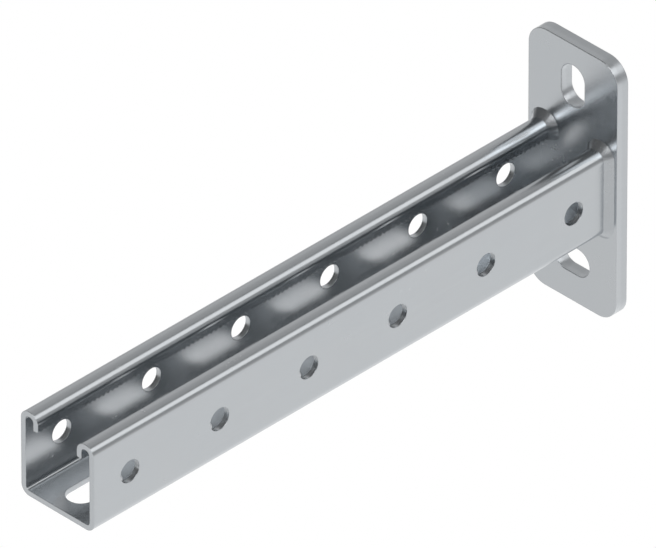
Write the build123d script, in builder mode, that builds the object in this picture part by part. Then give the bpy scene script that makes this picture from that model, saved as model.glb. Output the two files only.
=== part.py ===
from build123d import *
import os

# Cantilever strut arm: a length of roll-formed lipped channel standing out from a flat head plate.
# The channel is butted against the plate, centred on it, and fillet welded all round its outside.
# Origin: middle of the plate's wall face. +X runs along the arm, away from the wall. +Z is up,
# and the open side of the channel faces up. Sizes are millimetres.

# Head plate
plate_width = 50.0
plate_height = 125.0
plate_thickness = 6.0
plate_corner_radius = 10.0
plate_slot_width = 13.0
plate_slot_length = 20.0
plate_slot_spacing = 85.0

# Channel section, bent from one strip
channel_length = 290.0
channel_width = 41.0
channel_height = 41.0
sheet_thickness = 2.5
floor_bend_inner_radius = 2.0
lip_bend_inner_radius = 2.0
lip_width = 9.5
lip_leg_length = 3.9

# Punched row of round side holes and of floor slots, on one pitch
hole_pitch = 50.0
hole_end_distance = 20.0
side_hole_diameter = 10.5
floor_slot_width = 12.5
floor_slot_length = 27.0

# Notches pressed up into the lower edge of each lip, which bite into a channel nut. They are deeper
# at the slot side than at the wall side.
notch_pitch = 2.5
notch_width = 2.4
notch_slot_side_depth = 1.15
notch_wall_side_depth = 0.8
notch_end_distance = 0.55

# Fillet weld between channel and plate
weld_leg = 3.0

# Places that follow from the sizes above
arm_tip = plate_thickness + channel_length
floor_underside = -channel_height / 2
floor_bend_radius = floor_bend_inner_radius + sheet_thickness
lip_bend_radius = lip_bend_inner_radius + sheet_thickness
lip_top_flat = lip_width - 2 * lip_bend_radius
lip_opening = channel_width - 2 * lip_width
wall_flat_height = channel_height - floor_bend_radius - lip_bend_radius
floor_flat_width = channel_width - 2 * floor_bend_radius
lip_edge_height = floor_underside + channel_height - lip_bend_radius - lip_leg_length
plate_front = Plane.YZ.offset(plate_thickness)

punched_span = channel_length - 2 * hole_end_distance
punched_places = [
    (arm_tip - hole_end_distance - i * hole_pitch, 0)
    for i in range(int(punched_span // hole_pitch) + 1)
]
notch_places = [
    (arm_tip - notch_end_distance - i * notch_pitch, lip_edge_height)
    for i in range(int((channel_length - notch_end_distance) // notch_pitch) + 1)
]
notch_outline = [(-notch_width / 2, 0), (notch_width / 2, 0), (0, notch_slot_side_depth)]
bead_notch_places = [
    (x, z) for x, z in notch_places if x - notch_width / 2 < plate_thickness + weld_leg
]

# Outer face of the section, drawn once from one lip edge to the other: up the lip leg, over the
# lip, down the wall, along the floor and back up. The sheet lies to the left of this line, which is
# also the route of the weld.
with BuildLine() as section_outside:
    first_leg = PolarLine((-lip_opening / 2, lip_edge_height), lip_leg_length, 90)
    first_lip_bend = JernArc(first_leg @ 1, first_leg % 1, lip_bend_radius, 90)
    first_lip = PolarLine(first_lip_bend @ 1, lip_top_flat, direction=first_lip_bend % 1)
    first_wall_bend = JernArc(first_lip @ 1, first_lip % 1, lip_bend_radius, 90)
    first_wall = PolarLine(first_wall_bend @ 1, wall_flat_height, direction=first_wall_bend % 1)
    first_floor_bend = JernArc(first_wall @ 1, first_wall % 1, floor_bend_radius, 90)
    floor = PolarLine(first_floor_bend @ 1, floor_flat_width, direction=first_floor_bend % 1)
    second_floor_bend = JernArc(floor @ 1, floor % 1, floor_bend_radius, 90)
    second_wall = PolarLine(second_floor_bend @ 1, wall_flat_height, direction=second_floor_bend % 1)
    second_wall_bend = JernArc(second_wall @ 1, second_wall % 1, lip_bend_radius, 90)
    second_lip = PolarLine(second_wall_bend @ 1, lip_top_flat, direction=second_wall_bend % 1)
    second_lip_bend = JernArc(second_lip @ 1, second_lip % 1, lip_bend_radius, 90)
    PolarLine(second_lip_bend @ 1, lip_leg_length, direction=second_lip_bend % 1)

# Head plate: flat bar with rounded corners. The upper slot stands upright and the lower one lies
# across, so that the arm can be set level and square after its two bolts are in the wall.
with BuildPart() as head_plate:
    with BuildSketch(Plane.YZ):
        RectangleRounded(plate_width, plate_height, plate_corner_radius)
        with Locations((0, plate_slot_spacing / 2)):
            SlotOverall(plate_slot_length, plate_slot_width, rotation=90, mode=Mode.SUBTRACT)
        with Locations((0, -plate_slot_spacing / 2)):
            SlotOverall(plate_slot_length, plate_slot_width, mode=Mode.SUBTRACT)
    extrude(amount=plate_thickness)

# Channel: the section is the outer line thickened inwards by the sheet, run out along the arm.
with BuildPart() as channel:
    with BuildSketch(plate_front):
        with BuildLine():
            add(section_outside.line)
            offset(amount=sheet_thickness, side=Side.LEFT)
        make_face()
    extrude(amount=channel_length)

    # One punch goes through both walls
    with BuildSketch(Plane.XZ):
        with Locations(*punched_places):
            Circle(side_hole_diameter / 2)
    extrude(amount=channel_width, both=True, mode=Mode.SUBTRACT)

    with BuildSketch(Plane.XY.offset(floor_underside)):
        with Locations(*punched_places):
            SlotOverall(floor_slot_length, floor_slot_width)
    extrude(amount=sheet_thickness, mode=Mode.SUBTRACT)

    # Each notch runs through the lip leg, from its slot side to its wall side and well beyond
    for side in (1, -1):
        with BuildSketch(Plane.XZ.offset(-side * lip_opening / 2)):
            with Locations(*notch_places):
                Polygon(*notch_outline, align=None)
        extrude(
            amount=2 * sheet_thickness,
            dir=(0, side * sheet_thickness, notch_wall_side_depth - notch_slot_side_depth),
            mode=Mode.SUBTRACT,
        )

# Weld bead: a flat-faced three-cornered fillet that follows the outside of the section from one lip
# edge to the other, in the corner between the sheet and the plate.
with BuildPart() as weld_bead:
    bead_route = plate_front.from_local_coords(section_outside.line)
    with BuildSketch(Plane(bead_route @ 0, x_dir=(1, 0, 0), z_dir=bead_route % 0)):
        Polygon((0, 0), (weld_leg, 0), (0, weld_leg), align=None)
    sweep(path=bead_route)

    # A notch that comes within the bead marks it as well
    for side in (1, -1):
        with BuildSketch(Plane.XZ.offset(-side * lip_opening / 2)):
            with Locations(*bead_notch_places):
                Polygon(*notch_outline, align=None)
        extrude(amount=weld_leg, dir=(0, -side, 0), mode=Mode.SUBTRACT)

os.makedirs("parts", exist_ok=True)
head_plate.part.label = "head_plate"
channel.part.label = "channel"
weld_bead.part.label = "weld_bead"
export_step(head_plate.part, "parts/head_plate.step")
export_step(channel.part, "parts/channel.step")
export_step(weld_bead.part, "parts/weld_bead.step")
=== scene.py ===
import math

import bmesh
import bpy
from mathutils import Matrix, Vector


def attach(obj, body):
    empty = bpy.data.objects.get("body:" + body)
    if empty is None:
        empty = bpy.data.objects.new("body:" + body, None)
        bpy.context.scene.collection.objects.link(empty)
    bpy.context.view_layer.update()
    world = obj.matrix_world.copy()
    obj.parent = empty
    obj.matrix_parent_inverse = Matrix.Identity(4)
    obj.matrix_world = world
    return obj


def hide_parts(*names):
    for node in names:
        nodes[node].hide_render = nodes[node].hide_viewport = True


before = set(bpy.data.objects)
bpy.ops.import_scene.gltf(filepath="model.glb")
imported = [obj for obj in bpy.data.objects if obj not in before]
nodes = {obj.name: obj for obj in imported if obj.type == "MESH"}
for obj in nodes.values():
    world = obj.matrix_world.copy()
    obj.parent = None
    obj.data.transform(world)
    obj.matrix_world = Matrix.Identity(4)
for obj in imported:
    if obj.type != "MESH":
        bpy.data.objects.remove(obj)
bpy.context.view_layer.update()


# Channel: one strip of 2.5 mm steel, punched while flat and rolled cold into a lipped section. It is
# sawn to length, and zinc plated after it has been welded to its head plate. The coat is thin, so
# the fine lines that the rolls left along the strip still show through it.
mm = 0.001
sheet_thickness = 2.5 * mm
section_half = 20.5 * mm
inside_half = section_half - sheet_thickness
plate_front = 6 * mm
arm_tip = 296 * mm


def empty_tree(owner):
    owner.use_nodes = True
    owner.node_tree.nodes.clear()
    return owner.node_tree


def add_node(tree, kind, inputs=None, **settings):
    made = tree.nodes.new("ShaderNode" + kind)
    for name, value in settings.items():
        setattr(made, name, value)
    for socket, value in (inputs or {}).items():
        if isinstance(value, bpy.types.NodeSocket):
            tree.links.new(value, made.inputs[socket])
        else:
            made.inputs[socket].default_value = value
    return made


def math_node(tree, operation, first, second=0.0, third=0.0):
    made = add_node(tree, "Math", {0: first, 1: second, 2: third}, operation=operation)
    return made.outputs[0]


def weighted_sum(tree, base, *shares):
    """The base and each value times its share, added up."""
    for value, share in shares:
        base = math_node(tree, "MULTIPLY_ADD", value, share, base)
    return base


def ramp_node(tree, value, low, high, to_low=0.0, to_high=1.0):
    made = add_node(
        tree,
        "MapRange",
        {"Value": value, "From Min": low, "From Max": high, "To Min": to_low, "To Max": to_high},
        interpolation_type="SMOOTHSTEP",
    )
    return made.outputs["Result"]


def mix_node(tree, share, before, after, kind="FLOAT"):
    first = {"FLOAT": 2, "VECTOR": 4, "RGBA": 6}[kind]
    made = add_node(tree, "Mix", {0: share, first: before, first + 1: after}, data_type=kind)
    return made.outputs[first // 2 - 1]


def scaled(tree, vector, amount):
    return add_node(tree, "VectorMath", {0: vector, "Scale": amount}, operation="SCALE").outputs[0]


def stretched(tree, vector, amounts):
    return add_node(tree, "VectorMath", {0: vector, 1: amounts}, operation="MULTIPLY").outputs[0]


def along_axes(tree, vector):
    return add_node(tree, "SeparateXYZ", {0: vector}).outputs


def noise_node(tree, place, scale, detail=2.0, roughness=0.5):
    inputs = {"Vector": place, "Scale": scale, "Detail": detail, "Roughness": roughness}
    return add_node(tree, "TexNoise", inputs).outputs["Fac"]


def even_noise(tree, place, scale, detail, roughness):
    """Noise that is as often below zero as above it."""
    return math_node(tree, "SUBTRACT", noise_node(tree, place, scale, detail, roughness), 0.5)


def new_group(name, inputs, outputs):
    tree = bpy.data.node_groups.new(name, "ShaderNodeTree")
    for direction, sockets in (("INPUT", inputs), ("OUTPUT", outputs)):
        for socket, kind in sockets.items():
            tree.interface.new_socket(socket, in_out=direction, socket_type="NodeSocket" + kind)
    return tree, tree.nodes.new("NodeGroupInput").outputs, tree.nodes.new("NodeGroupOutput").inputs


def put_out(tree, end, values):
    for socket, value in values.items():
        tree.links.new(value, end[socket])


def place_group(tree, group, inputs):
    return add_node(tree, "Group", inputs, node_tree=group).outputs


def make_zinc_coat():
    """Thin bright zinc over steel. Place is in millimetres, and Rolled is the same place drawn out
    along the rolling direction. Clouds and mottle are the changes of the plating bath, lines are
    what the rolls left, and grain is the steel below."""
    tree, start, end = new_group(
        "zinc_coat",
        {
            "Place": "Vector",
            "Rolled": "Vector",
            "Cloud Size": "Float",
            "Cloud Shade": "Float",
            "Line Shade": "Float",
        },
        {"Shade": "Float", "Tint": "Float", "Dullness": "Float", "Height": "Float"},
    )
    cloud_place = scaled(tree, start["Place"], math_node(tree, "DIVIDE", 1.0, start["Cloud Size"]))
    clouds = even_noise(tree, cloud_place, scale=1.0, detail=4.0, roughness=0.62)
    mottle = even_noise(tree, start["Place"], scale=0.55, detail=3.0, roughness=0.6)
    broad_lines = even_noise(tree, start["Rolled"], scale=0.45, detail=3.0, roughness=0.65)
    fine_lines = even_noise(tree, start["Rolled"], scale=2.6, detail=2.0, roughness=0.6)
    grain = noise_node(tree, start["Place"], scale=4.5, detail=2.0, roughness=0.6)
    fine_share = 0.8
    lines = weighted_sum(tree, broad_lines, (fine_lines, fine_share))
    mottle_to_clouds = 0.6
    mottle_shade = math_node(tree, "MULTIPLY", start["Cloud Shade"], mottle_to_clouds)
    shade = weighted_sum(
        tree, 1.0, (clouds, start["Cloud Shade"]), (mottle, mottle_shade), (lines, start["Line Shade"])
    )
    cloud_dulling = 0.14
    mottle_dulling = 0.07
    line_dulling = 0.05
    dullness = weighted_sum(
        tree, 0.0, (clouds, cloud_dulling), (mottle, mottle_dulling), (lines, line_dulling)
    )
    line_height = 0.9
    grain_height = 0.8
    height = weighted_sum(tree, 0.0, (grain, grain_height), (lines, line_height))
    tint = noise_node(tree, cloud_place, scale=0.45)
    put_out(tree, end, {"Shade": shade, "Tint": tint, "Dullness": dullness, "Height": height})
    return tree


def make_handling_marks():
    """Short fine scratches in three directions, few and faint, as from arms stacked on each other."""
    tree, start, end = new_group(
        "handling_marks", {"Place": "Vector", "Amount": "Float"}, {"Marks": "Float"}
    )
    scratch_shape = (0.055, 2.4, 2.4)
    marks = 0.0
    for turn, shift in (
        ((0.5, 0.9, 0.4), 3.0),
        ((-0.8, 0.3, 1.1), 31.0),
        ((1.3, -0.5, -0.7), 67.0),
    ):
        inputs = {"Vector": start["Place"], "Rotation": turn, "Location": (shift, shift, 0)}
        turned = add_node(tree, "Mapping", inputs).outputs[0]
        drawn_out = stretched(tree, turned, scratch_shape)
        streaks = noise_node(tree, drawn_out, scale=1.0, detail=1.0)
        scratch = ramp_node(tree, streaks, low=0.70, high=0.78)
        handled = noise_node(tree, turned, scale=0.05, detail=1.0)
        patch = ramp_node(tree, handled, low=0.5, high=0.62)
        marks = math_node(tree, "MAXIMUM", marks, math_node(tree, "MULTIPLY", scratch, patch))
    put_out(tree, end, {"Marks": math_node(tree, "MULTIPLY", marks, start["Amount"])})
    return tree


def make_edge_wear():
    """Edges that are broken and worn bright, where the surface turns sharply within the given reach
    and only in places. Free is 1 on open edges and 0 where an edge is seated on the next piece."""
    tree, start, end = new_group(
        "edge_wear",
        {"Place": "Vector", "Reach": "Float", "Free": "Float"},
        {"Wear": "Float", "Rounded": "Vector"},
    )
    rounded = add_node(tree, "Bevel", {"Radius": start["Reach"]}, samples=6).outputs[0]
    flat = add_node(tree, "NewGeometry").outputs["Normal"]
    alike = add_node(tree, "VectorMath", {0: rounded, 1: flat}, operation="DOT_PRODUCT").outputs["Value"]
    sharp = ramp_node(tree, math_node(tree, "SUBTRACT", 1.0, alike), low=0.02, high=0.25)
    uneven = noise_node(tree, start["Place"], scale=0.3, detail=4.0, roughness=0.7)
    broken = ramp_node(tree, uneven, low=0.32, high=0.62, to_low=0.35)
    broken = math_node(tree, "MULTIPLY", broken, start["Free"])
    rounded = mix_node(tree, start["Free"], flat, rounded, kind="VECTOR")
    put_out(tree, end, {"Wear": math_node(tree, "MULTIPLY", sharp, broken), "Rounded": rounded})
    return tree


def make_sheared_face():
    """Sheared steel, as on the walls of punched holes: drawn lines across the thickness, a smooth
    band where the punch entered and a torn band below it. Depth is 0 at the torn side and 1 at the
    other."""
    tree, start, end = new_group(
        "sheared_face",
        {"Place": "Vector", "Drawn": "Vector", "Depth": "Float"},
        {"Shade": "Float", "Dullness": "Float", "Height": "Float"},
    )
    drawn = noise_node(tree, start["Drawn"], scale=2.2, detail=3.0, roughness=0.65)
    torn = noise_node(tree, start["Place"], scale=2.8, detail=3.0, roughness=0.7)
    waviness = 0.3
    waves = noise_node(tree, start["Drawn"], scale=0.5, detail=1.0)
    wavy_depth = weighted_sum(tree, start["Depth"], (waves, waviness))
    smooth_band = ramp_node(tree, wavy_depth, low=0.62, high=0.78)
    tear = math_node(tree, "MULTIPLY", torn, math_node(tree, "SUBTRACT", 1.0, smooth_band))
    freshness = 1.03
    line_shade = 0.10
    tear_shade = -0.06
    shade = weighted_sum(
        tree,
        freshness,
        (math_node(tree, "SUBTRACT", drawn, 0.5), line_shade),
        (tear, tear_shade),
    )
    plain_dulling = 0.03
    tear_dulling = 0.16
    line_height = 2.0
    tear_height = 2.5
    put_out(
        tree,
        end,
        {
            "Shade": shade,
            "Dullness": weighted_sum(tree, plain_dulling, (tear, tear_dulling)),
            "Height": weighted_sum(tree, 0.0, (tear, tear_height), (drawn, line_height)),
        },
    )
    return tree


zinc_coat = make_zinc_coat()
handling_marks = make_handling_marks()
edge_wear = make_edge_wear()
sheared_face = make_sheared_face()

cool_zinc = (0.557, 0.585, 0.610, 1)
warm_zinc = (0.572, 0.592, 0.610, 1)
worn_lightening = 0.04
worn_smoothing = -0.05
scratch_lightening = 0.02
scratch_dulling = 0.07
relief_height = 0.0025 * mm
seat_fade = 1.0 * mm


def zinc_material(
    name,
    rolled_stretch,
    base_roughness,
    cloud_size=14.0,
    cloud_shade=0.07,
    line_shade=0.04,
    marks=0.3,
    wear_reach=0.4 * mm,
    seated_to=None,
    lighter=0.0,
    cuts=None,
):
    """Edges are seated as far along the arm as seated_to, and free a little way past it. Cuts is a
    function that gives the mask of the cut faces, the place drawn out across the sheet and the
    depth in it."""
    material = bpy.data.materials.new(name)
    tree = empty_tree(material)
    place = scaled(tree, add_node(tree, "TexCoord").outputs["Object"], 1 / mm)
    normal = add_node(tree, "NewGeometry").outputs["Normal"]
    coat = place_group(
        tree,
        zinc_coat,
        {
            "Place": place,
            "Rolled": stretched(tree, place, rolled_stretch),
            "Cloud Size": cloud_size,
            "Cloud Shade": cloud_shade,
            "Line Shade": line_shade,
        },
    )
    scratch = place_group(tree, handling_marks, {"Place": place, "Amount": marks})["Marks"]
    free = 1.0
    if seated_to:
        along_arm = along_axes(tree, place)[0]
        free = ramp_node(tree, along_arm, low=seated_to / mm, high=(seated_to + seat_fade) / mm)
    edge = place_group(tree, edge_wear, {"Place": place, "Reach": wear_reach, "Free": free})
    shade, dullness, height = coat["Shade"], coat["Dullness"], coat["Height"]
    if cuts:
        mask, drawn, depth = cuts(tree, place, normal)
        cut = place_group(tree, sheared_face, {"Place": place, "Drawn": drawn, "Depth": depth})
        shade = mix_node(tree, mask, shade, cut["Shade"])
        dullness = mix_node(tree, mask, dullness, cut["Dullness"])
        height = mix_node(tree, mask, height, cut["Height"])
    shade = math_node(tree, "ADD", shade, lighter)
    shade = weighted_sum(tree, shade, (edge["Wear"], worn_lightening), (scratch, scratch_lightening))
    colour = scaled(tree, mix_node(tree, coat["Tint"], cool_zinc, warm_zinc, kind="RGBA"), shade)
    roughness = math_node(tree, "ADD", dullness, base_roughness)
    roughness = weighted_sum(tree, roughness, (scratch, scratch_dulling), (edge["Wear"], worn_smoothing))
    relief = add_node(
        tree,
        "Bump",
        {"Height": height, "Strength": 1.0, "Distance": relief_height, "Normal": edge["Rounded"]},
    ).outputs[0]
    shader = add_node(
        tree,
        "BsdfPrincipled",
        {"Base Color": colour, "Metallic": 1.0, "Roughness": roughness, "Normal": relief},
    )
    add_node(tree, "OutputMaterial", {"Surface": shader.outputs[0]})
    return material


def channel_cuts(tree, place, normal):
    """The walls of the side holes and of the floor slots, and the sawn end."""
    slack = 0.1 * mm
    side_hole_half = 6.0 * mm
    floor_slot_half = 7.0 * mm
    end_depth = 0.5 * mm
    across_sheet = 0.4
    square_on = 0.8
    draw = 0.12
    sawn_smoothness = 0.9
    x, y, z = along_axes(tree, place)
    facing_x, facing_y, facing_z = along_axes(tree, normal)
    across = math_node(tree, "ABSOLUTE", y)
    in_wall = math_node(tree, "GREATER_THAN", across, (inside_half - slack) / mm)
    side_on = math_node(tree, "LESS_THAN", math_node(tree, "ABSOLUTE", facing_y), across_sheet)
    near_middle = math_node(tree, "LESS_THAN", math_node(tree, "ABSOLUTE", z), side_hole_half / mm)
    side_hole = math_node(tree, "MULTIPLY", math_node(tree, "MULTIPLY", in_wall, side_on), near_middle)
    in_floor = math_node(tree, "LESS_THAN", z, -(inside_half - slack) / mm)
    edge_on = math_node(tree, "LESS_THAN", math_node(tree, "ABSOLUTE", facing_z), across_sheet)
    mid_floor = math_node(tree, "LESS_THAN", across, floor_slot_half / mm)
    floor_slot = math_node(tree, "MULTIPLY", math_node(tree, "MULTIPLY", in_floor, edge_on), mid_floor)
    at_tip = math_node(tree, "GREATER_THAN", x, (arm_tip - end_depth) / mm)
    sawn_end = math_node(tree, "MULTIPLY", math_node(tree, "GREATER_THAN", facing_x, square_on), at_tip)
    mask = math_node(tree, "MAXIMUM", math_node(tree, "MAXIMUM", side_hole, floor_slot), sawn_end)
    along_y = stretched(tree, place, (1.0, draw, 1.0))
    along_z = stretched(tree, place, (1.0, 1.0, draw))
    drawn = mix_node(tree, side_hole, along_z, along_y, kind="VECTOR")
    per_sheet = mm / sheet_thickness
    from_inside = -inside_half / sheet_thickness
    wall_depth = weighted_sum(tree, from_inside, (across, per_sheet))
    floor_depth = weighted_sum(tree, from_inside, (z, -per_sheet))
    depth = mix_node(tree, side_hole, floor_depth, wall_depth)
    return mask, drawn, mix_node(tree, sawn_end, depth, sawn_smoothness)


def dress(node, material):
    node.data.materials.clear()
    node.data.materials.append(material)


rolled_strip = zinc_material(
    "zinc_on_rolled_strip",
    rolled_stretch=(0.012, 1.0, 1.0),
    base_roughness=0.235,
    seated_to=plate_front + 0.2 * mm,
    cuts=channel_cuts,
)
dress(nodes["channel"], rolled_strip)


# Head plate: hot rolled flat bar, 6 mm thick, cropped to length with rounded corners and punched
# with two slots. It is zinc plated together with the arm and bolts flat to the wall.
def plate_cuts(tree, place, normal):
    """The edge all round and the walls of the slots: all faces that lie across the bar."""
    across_bar = 0.4
    shear_draw = (0.1, 0.8, 0.8)
    facing_x = math_node(tree, "ABSOLUTE", along_axes(tree, normal)[0])
    mask = math_node(tree, "LESS_THAN", facing_x, across_bar)
    drawn = stretched(tree, place, shear_draw)
    depth = math_node(tree, "DIVIDE", along_axes(tree, place)[0], plate_front / mm)
    return mask, drawn, depth


flat_bar = zinc_material(
    "zinc_on_flat_bar",
    rolled_stretch=(1.0, 0.9, 0.03),
    base_roughness=0.245,
    cloud_size=17.0,
    line_shade=0.02,
    marks=0.25,
    wear_reach=0.6 * mm,
    lighter=0.02,
    cuts=plate_cuts,
)
dress(nodes["head_plate"], flat_bar)


# Weld bead: one run of weld metal in the corner between the channel and the plate, laid round the
# outside of the section from one lip edge to the other. Each ripple is a small step of the run.
bead_leg = 3.0 * mm
outer_bend = 4.5 * mm
lip_width = 9.5 * mm
lip_leg = 3.9 * mm
ring_spacing = 0.18 * mm
facets_across = 14
plate_leg_drift = 0.12 * mm
channel_leg_drift = 0.10 * mm
crown = 0.03 * mm
ripple_pitch = 1.35 * mm
ripple_height = 0.005 * mm
ripple_drift = 0.12 * mm
ripple_lag = 0.75 * mm
ripple_lean = 0.3
end_length = 2.0 * mm
end_size = 0.98
# For each wave of the drift: radians per metre of run, radians per unit of start, and its share
drift_waves = ((410, 1.0, 0.5), (1130, 2.3, 0.3), (2900, 4.1, 0.2))


def straight(start, end, outward):
    """Route points (y, z, outward y, outward z) from the start up to the end, without it."""
    count = max(2, round(math.dist(start, end) / ring_spacing))
    for i in range(count):
        y, z = (a + (b - a) * i / count for a, b in zip(start, end))
        yield y, z, *outward


def bend(centre, first_angle, last_angle):
    """Route points round an outer bend of the section, between angles in degrees and without the
    last one."""
    middle_length = math.radians(abs(last_angle - first_angle)) * (outer_bend + bead_leg / 2)
    count = round(middle_length / ring_spacing)
    for i in range(count):
        angle = math.radians(first_angle + (last_angle - first_angle) * i / count)
        outward = math.cos(angle), math.sin(angle)
        yield centre[0] + outer_bend * outward[0], centre[1] + outer_bend * outward[1], *outward


def bead_route():
    """The outside of the section, from the edge of one lip down and round to the other's."""
    slot = section_half - lip_width
    lip_edge = section_half - outer_bend - lip_leg
    flat = section_half - outer_bend
    lip_bend = slot + outer_bend
    yield from straight((slot, lip_edge), (slot, flat), (-1, 0))
    yield from bend((lip_bend, flat), 180, 90)
    yield from straight((lip_bend, section_half), (flat, section_half), (0, 1))
    yield from bend((flat, flat), 90, 0)
    yield from straight((section_half, flat), (section_half, -flat), (1, 0))
    yield from bend((flat, -flat), 0, -90)
    yield from straight((flat, -section_half), (-flat, -section_half), (0, -1))
    yield from bend((-flat, -flat), -90, -180)
    yield from straight((-section_half, -flat), (-section_half, flat), (-1, 0))
    yield from bend((-flat, flat), 180, 90)
    yield from straight((-flat, section_half), (-lip_bend, section_half), (0, 1))
    yield from bend((-lip_bend, flat), 90, 0)
    yield from straight((-slot, flat), (-slot, lip_edge), (1, 0))
    yield -slot, lip_edge, 1, 0


def wander(run, start):
    """A slow drift between -1 and 1 along the run, as of a hand that isn't quite steady."""
    return sum(share * math.sin(rate * run + shift * start) for rate, shift, share in drift_waves)


def bead_ring(route_point, run, run_length):
    """Points across the bead where the run has come so far: from the toe on the plate to the toe on
    the channel, and last the corner below them."""
    y, z, outward_y, outward_z = route_point
    from_end = min(run, run_length - run)
    size = 1.0
    if from_end <= end_length:
        size = end_size + (1 - end_size) * math.sin(from_end / end_length * math.pi / 2)
    plate_leg = (bead_leg + plate_leg_drift * wander(run, start=1.0)) * size
    channel_leg = (bead_leg + channel_leg_drift * wander(run, start=5.0)) * size
    slope = math.atan2(plate_leg, channel_leg)
    ring = []
    for i in range(facets_across + 1):
        across = i / facets_across
        # The front of each ripple is curved, and lags behind at both toes
        lag = ripple_lag * (2 * across - 1) ** 2 + ripple_drift * wander(run, start=9.0)
        phase = (run + lag) / ripple_pitch % 1.0
        ripple = math.cos(math.tau * phase) + ripple_lean * math.sin(2 * math.tau * phase)
        bulge = math.sin(math.pi * across)
        lift = crown * bulge + ripple_height * ripple * bulge**0.5
        x = plate_front + channel_leg * across + lift * math.sin(slope)
        out = plate_leg * (1 - across) + lift * math.cos(slope)
        ring.append((x, y + outward_y * out, z + outward_z * out))
    ring.append((plate_front, y, z))
    return ring


def weld_mesh():
    route = list(bead_route())
    mid_bead = [(y + ny * bead_leg / 2, z + nz * bead_leg / 2) for y, z, ny, nz in route]
    runs = [0.0]
    for before, after in zip(mid_bead, mid_bead[1:]):
        runs.append(runs[-1] + math.dist(before, after))
    shape = bmesh.new()
    rings = [
        [shape.verts.new(point) for point in bead_ring(route_point, run, run_length=runs[-1])]
        for route_point, run in zip(route, runs)
    ]
    for before, after in zip(rings, rings[1:]):
        for i in range(len(before)):
            j = (i + 1) % len(before)
            shape.faces.new((before[i], before[j], after[j], after[i]))
    shape.faces.new(reversed(rings[0]))
    shape.faces.new(rings[-1])
    bmesh.ops.recalc_face_normals(shape, faces=shape.faces)
    for face in shape.faces:
        face.smooth = True
    mesh = bpy.data.meshes.new("weld_run")
    shape.to_mesh(mesh)
    shape.free()
    toe_turn = math.radians(50)
    mesh.set_sharp_from_angle(angle=toe_turn)
    return mesh


def add_object(name, data):
    made = bpy.data.objects.new(name, data)
    bpy.context.scene.collection.objects.link(made)
    return made


weld_run = add_object("weld_run", weld_mesh())
# The bead's edges all lie on the channel or the plate, so none of them is free
weld_zinc = zinc_material(
    "zinc_on_weld",
    rolled_stretch=(1.0, 1.0, 1.0),
    base_roughness=0.25,
    cloud_size=5.0,
    line_shade=0.03,
    marks=0.0,
    seated_to=plate_front + bead_leg + 1.0 * mm,
    lighter=-0.08,
)
weld_run.data.materials.append(weld_zinc)
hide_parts("weld_bead")
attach(weld_run, "root")


# Floor: a board that lies well below the arm. The camera sees it as white paper. To the metal it
# glows with painted light: a little brighter behind the plate than at the free end, with a painted
# pool of light behind the plate. From below it isn't there.
floor_half_size = 3.5
floor_place = (0.15, 0, -0.8)
board_colour = (0.8, 0.8, 0.8, 1)
# Painted light on the floor as the metal sees it: a ramp from brighter behind the plate to dimmer at the
# free end, and a painted pool of light behind the plate
behind = -0.6
in_front = 0.7
painted_light_behind = 0.895
painted_light_in_front = 0.81
painted_pool_middle = (-0.55, 0.05, 0)
painted_pool_reach = 0.8
painted_pool_strength = 0.14

floor_mesh = bpy.data.meshes.new("floor")
shape = bmesh.new()
bmesh.ops.create_grid(shape, x_segments=4, y_segments=4, size=floor_half_size)
shape.to_mesh(floor_mesh)
shape.free()
floor = add_object("floor", floor_mesh)
floor.location = floor_place
white_board = bpy.data.materials.new("white_board")
tree = empty_tree(white_board)
place = add_node(tree, "TexCoord").outputs["Object"]
path = add_node(tree, "LightPath").outputs
forward = along_axes(tree, place)[0]
painted_floor_light = ramp_node(tree, forward, behind, in_front, painted_light_behind, painted_light_in_front)
away = add_node(tree, "VectorMath", {0: place, 1: painted_pool_middle}, operation="DISTANCE").outputs["Value"]
painted_floor_light = math_node(tree, "ADD", ramp_node(tree, away, 0.0, painted_pool_reach, painted_pool_strength, 0.0), painted_floor_light)
strength = mix_node(tree, path["Is Camera Ray"], painted_floor_light, 1.0)
white = add_node(tree, "Emission", {"Strength": strength}).outputs[0]
board = add_node(tree, "BsdfDiffuse", {"Color": board_colour}).outputs[0]
seen = math_node(tree, "MAXIMUM", path["Is Camera Ray"], path["Is Glossy Ray"])
seen = math_node(tree, "MAXIMUM", seen, path["Is Transmission Ray"])
surface = add_node(tree, "MixShader", {0: seen, 1: board, 2: white}).outputs[0]
gone = add_node(tree, "BsdfTransparent").outputs[0]
back = add_node(tree, "NewGeometry").outputs["Backfacing"]
surface = add_node(tree, "MixShader", {0: back, 1: surface, 2: gone}).outputs[0]
add_node(tree, "OutputMaterial", {"Surface": surface})
floor_mesh.materials.append(white_board)


# Studio: a grey room with a soft light high in front of the arm, a small spot beside it, a faint
# light off the free end, and darker parts at the front, behind and at the left. The metal reflects
# it, and the camera sees it as plain white.
room_tone = 0.614
darkest = 0.14
# For each part: the way to its middle, the cosines where it starts and is full, and what it adds
room_parts = {
    "dark front": ((0.62, -0.16, 0.77), 0.13, 0.55, -0.457),
    "dark back": ((-0.60, 0.60, 0.53), 0.72, 0.94, -0.255),
    "soft light": ((0.36, 0.42, 0.83), 0.82, 0.95, 1.90),
    "spot by the camera": ((0.49, 0.63, 0.60), 0.94, 0.99, 1.50),
    "light off the free end": ((0.98, 0.21, 0.00), 0.82, 0.97, 0.28),
    "dark left": ((0.15, -1.00, 0.00), 0.60, 0.95, -0.25),
}

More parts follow.
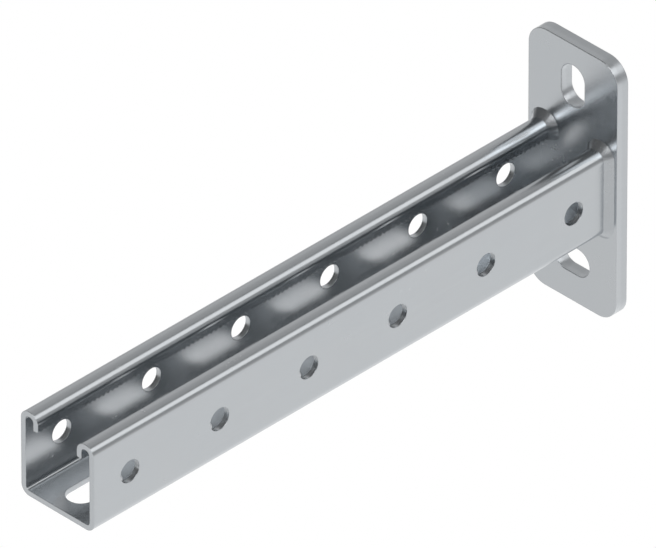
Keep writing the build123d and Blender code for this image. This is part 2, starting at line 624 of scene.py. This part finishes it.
studio = bpy.data.worlds.new("studio")
bpy.context.scene.world = studio
tree = empty_tree(studio)
toward = add_node(tree, "TexCoord").outputs["Generated"]
room = room_tone
for name, (middle, start_cosine, full_cosine, amount) in room_parts.items():
    inputs = {0: toward, 1: Vector(middle).normalized()}
    cosine = add_node(tree, "VectorMath", inputs, operation="DOT_PRODUCT", label=name).outputs["Value"]
    part = ramp_node(tree, cosine, start_cosine, full_cosine, 0.0, amount)
    room = math_node(tree, "ADD", part, room)
room = math_node(tree, "MAXIMUM", room, darkest)
grey_room = add_node(tree, "Background", {"Color": (1, 1, 1, 1), "Strength": room}).outputs[0]
white_room = add_node(tree, "Background", {"Color": (1, 1, 1, 1)}).outputs[0]
camera_ray = add_node(tree, "LightPath").outputs["Is Camera Ray"]
surface = add_node(tree, "MixShader", {0: camera_ray, 1: grey_room, 2: white_room}).outputs[0]
add_node(tree, "OutputWorld", {"Surface": surface})


# Lamp: one wide soft box, high up behind the plate and to the right of the arm. The camera can't
# see it.
mid_arm = Vector((0.15, 0, 0))
box_way = Vector((-1, 0.92, 1.04)).normalized()
box_long_side = Vector((2, 1, 1))
box_distance = 8.0
box_length = 7.0
box_height = 4.3
box_tone = 0.86

lamp = bpy.data.lights.new("soft_box", "AREA")
lamp.shape = "RECTANGLE"
lamp.size = box_length
lamp.size_y = box_height
lamp.energy = box_tone * math.pi * box_length * box_height
upright = box_way.cross(box_long_side).normalized()
turn = Matrix((upright.cross(box_way), upright, box_way)).transposed()
soft_box = add_object("soft_box", lamp)
soft_box.matrix_world = Matrix.LocRotScale(mid_arm + box_way * box_distance, turn, None)
soft_box.visible_camera = False


# Camera: the photograph's own angle, from so far away that it sees almost no perspective. It looks
# at the point of the arm's middle height that the middle of the photograph shows.
picture_middle = Vector((0.12520413, -0.01961974, 0))
camera_distance = 10.4
half_width_at_1_m = 0.01259715
camera_way = Vector((1, 1, 1)).normalized()

camera = add_object("camera", bpy.data.cameras.new("camera"))
bpy.context.scene.camera = camera
camera.location = picture_middle + camera_way * camera_distance
camera.rotation_mode = "QUATERNION"
camera.rotation_quaternion = camera_way.to_track_quat("Z", "Y")
camera.data.sensor_width = 36
camera.data.lens = camera.data.sensor_width / 2 / half_width_at_1_m
camera.data.clip_start = 1
camera.data.clip_end = 100
bpy.context.scene.view_settings.view_transform = "Standard"
